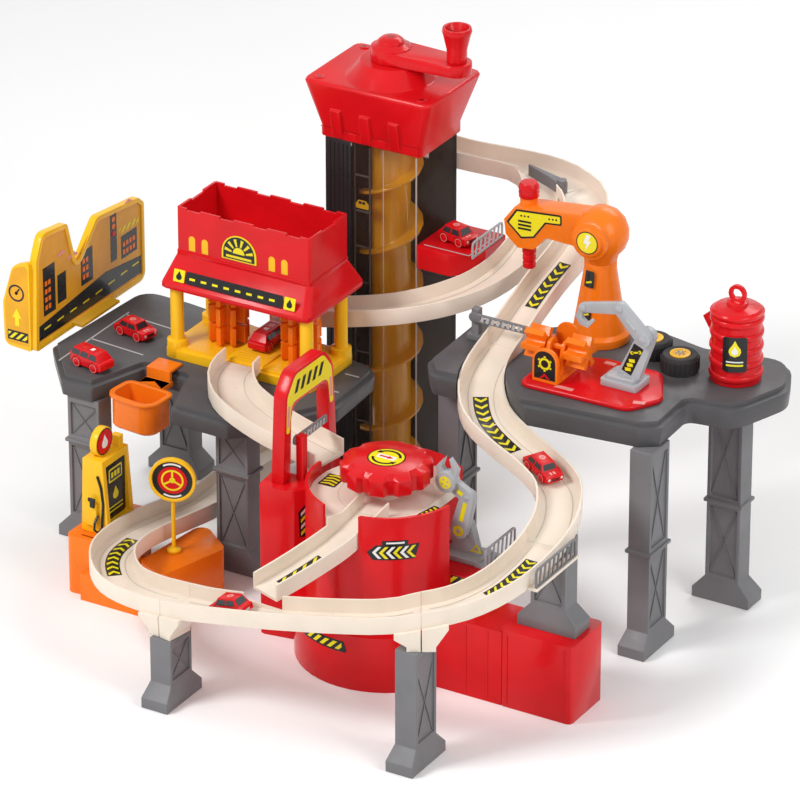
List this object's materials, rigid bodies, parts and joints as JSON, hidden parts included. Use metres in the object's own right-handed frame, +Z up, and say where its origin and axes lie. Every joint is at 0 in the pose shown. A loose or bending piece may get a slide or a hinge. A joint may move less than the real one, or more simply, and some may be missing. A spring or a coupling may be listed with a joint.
{
  "type": "toy parking garage",
  "caption": "Toy parking garage with a hand-cranked screw lift tower, sloping car tracks, a wash house, a repair deck and a turntable drum.",
  "frame": {"origin": "centre of the lift tower foot on the floor, on the lift screw axis", "axes": "+X to the right along the long side, towards the repair deck; +Y to the back; +Z up; the tracks and the drum lie in front, towards -Y"},
  "size_m": [0.7963, 0.6705, 0.5209],
  "materials": {
    "red_plastic": "gloss",
    "dark_plastic": "satin",
    "deck_plastic": "satin",
    "grey_plastic": "satin",
    "silver_plastic": "satin",
    "cream_plastic": "satin",
    "yellow_plastic": "gloss",
    "orange_plastic": "gloss",
    "clear_plastic": "clear, lightly smoked",
    "amber_plastic": "translucent gloss"
  },
  "bodies": {
    "garage": {"tower_shell": "dark_plastic", "tower_window": "clear_plastic", "tower_head": "red_plastic", "parking_shelf": "red_plastic", "upper_track": "cream_plastic", "slide_upper": "cream_plastic", "slide_s_curve": "cream_plastic", "slide_right": "cream_plastic", "slide_front": "cream_plastic", "slide_left": "cream_plastic", "wash_track": "cream_plastic", "wash_slide": "cream_plastic", "gate_post": "grey_plastic", "front_leg_left": "grey_plastic", "front_leg_right": "grey_plastic", "slide_leg": "grey_plastic", "wash_base": "yellow_plastic", "wash_house": "red_plastic", "left_platform": "deck_plastic", "left_leg_front": "grey_plastic", "left_leg_inner": "grey_plastic", "left_leg_rear": "grey_plastic", "billboard": "yellow_plastic", "gas_base": "orange_plastic", "gas_pump": "yellow_plastic", "road_sign": "yellow_plastic", "station_base": "red_plastic", "station_deck": "cream_plastic", "station_arch": "red_plastic", "grabber_base": "grey_plastic", "right_platform": "deck_plastic", "right_leg_near": "grey_plastic", "right_leg_far": "grey_plastic", "right_leg_inner": "grey_plastic", "robot_base": "orange_plastic", "repair_plate": "red_plastic", "crane_base": "silver_plastic", "turner_stand": "orange_plastic"},
    "lift_drive": {"spiral_lift": "amber_plastic", "crank_arm": "red_plastic"},
    "crank_knob": {"crank_knob": "red_plastic"},
    "diverter": {"diverter": "grey_plastic"},
    "gate_arm": {"gate_arm": "grey_plastic"},
    "entry_gate_arm": {"entry_gate_arm": "grey_plastic"},
    "brush_left": {"brush_left": "orange_plastic"},
    "brush_right": {"brush_right": "orange_plastic"},
    "gear_knob": {"gear_knob": "red_plastic"},
    "grabber_arm": {"grabber_arm": "silver_plastic"},
    "robot_arm": {"robot_arm": "orange_plastic"},
    "robot_drill": {"robot_drill": "red_plastic"},
    "crane_arm": {"crane_arm": "silver_plastic"},
    "turner_drum": {"turner_drum": "orange_plastic"},
    "oil_barrel": {"oil_barrel": "red_plastic"},
    "tray": {"tray": "orange_plastic"},
    "van": {"van": "red_plastic"},
    "coupe_parked": {"coupe_parked": "red_plastic"},
    "bus": {"bus": "red_plastic"},
    "beetle_shelf": {"beetle_shelf": "red_plastic"},
    "coupe_rolling": {"coupe_rolling": "red_plastic"},
    "beetle_rolling": {"beetle_rolling": "red_plastic"}
  },
  "joints": [
    {"name": "lift_turn", "type": "hinge", "parent": "garage", "child": "lift_drive", "pos_m": [0, 0, 0.2], "axis": [0, 0, 1], "continuous": true},
    {"name": "knob_turn", "type": "hinge", "parent": "lift_drive", "child": "crank_knob", "pos_m": [0.077, 0, 0.4839], "axis": [0, 0, 1], "continuous": true},
    {"name": "diverter_swing", "type": "hinge", "parent": "garage", "child": "diverter", "pos_m": [0.16, 0.072, 0.32035], "axis": [0, 0, 1], "range_deg": [-12, 12]},
    {"name": "gate_lift", "type": "hinge", "parent": "garage", "child": "gate_arm", "pos_m": [0.174, -0.126, 0.276], "axis": [0, -1, 0], "range_deg": [0, 80]},
    {"name": "entry_gate_lift", "type": "hinge", "parent": "garage", "child": "entry_gate_arm", "pos_m": [0.096, -0.336, 0.206], "axis": [1, 0, 0], "range_deg": [0, 80]},
    {"name": "brush_left_turn", "type": "hinge", "parent": "garage", "child": "brush_left", "pos_m": [-0.095, -0.1645, 0.1983], "axis": [0, 0, 1], "continuous": true},
    {"name": "brush_right_turn", "type": "hinge", "parent": "garage", "child": "brush_right", "pos_m": [-0.009, -0.1645, 0.1983], "axis": [0, 0, 1], "continuous": true},
    {"name": "gear_knob_turn", "type": "hinge", "parent": "garage", "child": "gear_knob", "pos_m": [0.192, -0.334, 0.19], "axis": [0, 0, 1], "continuous": true},
    {"name": "grabber_swing", "type": "hinge", "parent": "garage", "child": "grabber_arm", "pos_m": [0.264, -0.309, 0.143], "axis": [0, 1, 0], "range_deg": [0, 45]},
    {"name": "robot_swivel", "type": "hinge", "parent": "garage", "child": "robot_arm", "pos_m": [0.279, -0.062, 0.366], "axis": [0, 0, 1], "range_deg": [-15, 50]},
    {"name": "drill_press", "type": "slide", "parent": "robot_arm", "child": "robot_drill", "axis": [0, 0, -1], "range_m": [0, 0.01], "stiffness_N_per_m": 150},
    {"name": "crane_lift", "type": "hinge", "parent": "garage", "child": "crane_arm", "pos_m": [0.381, -0.15, 0.314], "axis": [0, 1, 0], "range_deg": [-8, 40]},
    {"name": "turner_roll", "type": "hinge", "parent": "garage", "child": "turner_drum", "pos_m": [0.287, -0.16, 0.283], "axis": [1, 0, 0], "continuous": true},
    {"name": "barrel_lift", "type": "slide", "parent": "garage", "child": "oil_barrel", "axis": [0, 0, 1], "range_m": [0, 0.05]},
    {"name": "tray_lift", "type": "slide", "parent": "garage", "child": "tray", "axis": [0, 0, 1], "range_m": [0, 0.03]},
    {"name": "van_roll", "type": "slide", "parent": "garage", "child": "van", "axis": [0.9781, -0.2079, 0], "range_m": [-0.01, 0.012]},
    {"name": "coupe_parked_roll", "type": "slide", "parent": "garage", "child": "coupe_parked", "axis": [0.9781, -0.2079, 0], "range_m": [-0.01, 0.012]},
    {"name": "bus_roll", "type": "slide", "parent": "garage", "child": "bus", "axis": [0, -1, 0], "range_m": [-0.012, 0.02]},
    {"name": "beetle_shelf_roll", "type": "slide", "parent": "garage", "child": "beetle_shelf", "axis": [0.9781, -0.2079, 0], "range_m": [-0.006, 0.008]},
    {"name": "coupe_rolling_roll", "type": "slide", "parent": "garage", "child": "coupe_rolling", "axis": [0.8807, -0.4467, -0.1577], "range_m": [-0.008, 0.008]},
    {"name": "beetle_rolling_roll", "type": "slide", "parent": "garage", "child": "beetle_rolling", "axis": [-0.9799, 0.0519, -0.1927], "range_m": [-0.015, 0.015]}
  ]
}
